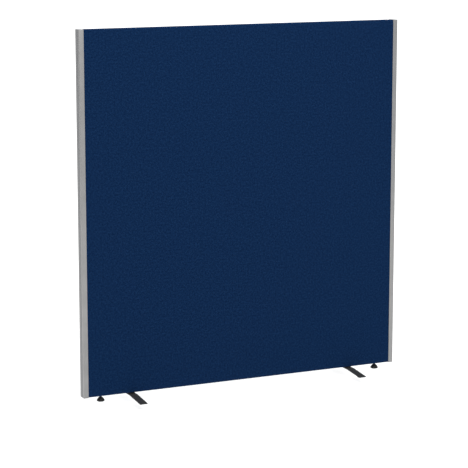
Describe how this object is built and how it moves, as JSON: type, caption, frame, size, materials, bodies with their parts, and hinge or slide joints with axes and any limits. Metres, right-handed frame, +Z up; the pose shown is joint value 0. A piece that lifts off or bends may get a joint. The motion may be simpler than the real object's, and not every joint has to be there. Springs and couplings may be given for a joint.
{
  "type": "acoustic divider screen",
  "caption": "Free-standing cloth-covered screen panel with aluminium edge posts, screw-adjusted levelling feet and flat cross bars that swing under it.",
  "frame": {"origin": "on the floor, under the middle of the panel", "axes": "+X along the screen to the right seen from the front, -Y is the front face, +Z up"},
  "size_m": [1.4, 0.27, 1.4725],
  "materials": {
    "cloth": "fine woven upholstery cloth, matt",
    "foam": "soft open foam sheet",
    "acoustic_filling": "mineral wool slab",
    "facing_board": "pressed fibre board",
    "frame_timber": "planed softwood",
    "post_aluminium": "satin silver anodised extrusion",
    "cap_plastic": "moulded grey nylon",
    "strip_plastic": "extruded grey strip",
    "zinc_steel": "bright zinc plated",
    "black_steel": "black plated",
    "bar_paint": "fine textured dark powder coat",
    "foot_plastic": "moulded black nylon",
    "tip_rubber": "black rubber"
  },
  "bodies": {
    "screen": {"stile_left": "frame_timber", "stile_right": "frame_timber", "rail_top": "frame_timber", "rail_middle": "frame_timber", "rail_bottom": "frame_timber", "frame_dowels": "frame_timber", "infill_upper": "acoustic_filling", "infill_lower": "acoustic_filling", "board_front": "facing_board", "board_back": "facing_board", "foam_front": "foam", "foam_back": "foam", "cloth_cover": "cloth", "edge_post_left": "post_aluminium", "link_strip_left": "strip_plastic", "cap_top_left": "cap_plastic", "cap_bottom_left": "cap_plastic", "bar_spacer_left": "foot_plastic", "bar_washer_left": "zinc_steel", "bar_bolt_left": "zinc_steel", "edge_post_right": "post_aluminium", "link_strip_right": "strip_plastic", "cap_top_right": "cap_plastic", "cap_bottom_right": "cap_plastic", "bar_spacer_right": "foot_plastic", "bar_washer_right": "zinc_steel", "bar_bolt_right": "zinc_steel", "post_screws": "zinc_steel", "threaded_inserts": "zinc_steel"},
    "pad_left": {"foot_pad_left": "foot_plastic"},
    "stud_left": {"foot_stud_left": "black_steel"},
    "bar_left": {"cross_bar_left": "bar_paint", "tip_pads_left": "tip_rubber"},
    "pad_right": {"foot_pad_right": "foot_plastic"},
    "stud_right": {"foot_stud_right": "black_steel"},
    "bar_right": {"cross_bar_right": "bar_paint", "tip_pads_right": "tip_rubber"}
  },
  "joints": [
    {"name": "foot_left_height", "type": "slide", "parent": "screen", "child": "pad_left", "axis": [0, 0, -1], "range_m": [-0.004, 0.02]},
    {"name": "foot_left_turn", "type": "hinge", "parent": "pad_left", "child": "stud_left", "pos_m": [-0.622, 0, 0], "axis": [0, 0, -1], "range_deg": [-1153, 5761]},
    {"name": "foot_right_height", "type": "slide", "parent": "screen", "child": "pad_right", "axis": [0, 0, -1], "range_m": [-0.004, 0.02]},
    {"name": "foot_right_turn", "type": "hinge", "parent": "pad_right", "child": "stud_right", "pos_m": [0.622, 0, 0], "axis": [0, 0, -1], "range_deg": [-1153, 5761]},
    {"name": "bar_left_swing", "type": "hinge", "parent": "screen", "child": "bar_left", "pos_m": [-0.492, 0, 0.016], "axis": [0, 0, 1], "range_deg": [-70, 70]},
    {"name": "bar_right_swing", "type": "hinge", "parent": "screen", "child": "bar_right", "pos_m": [0.492, 0, 0.016], "axis": [0, 0, 1], "range_deg": [-70, 70]}
  ],
  "couplings": [
    {"joint": "foot_left_turn", "follows": "foot_left_height", "rad_per_m": 5026.5},
    {"joint": "foot_right_turn", "follows": "foot_right_height", "rad_per_m": 5026.5}
  ]
}
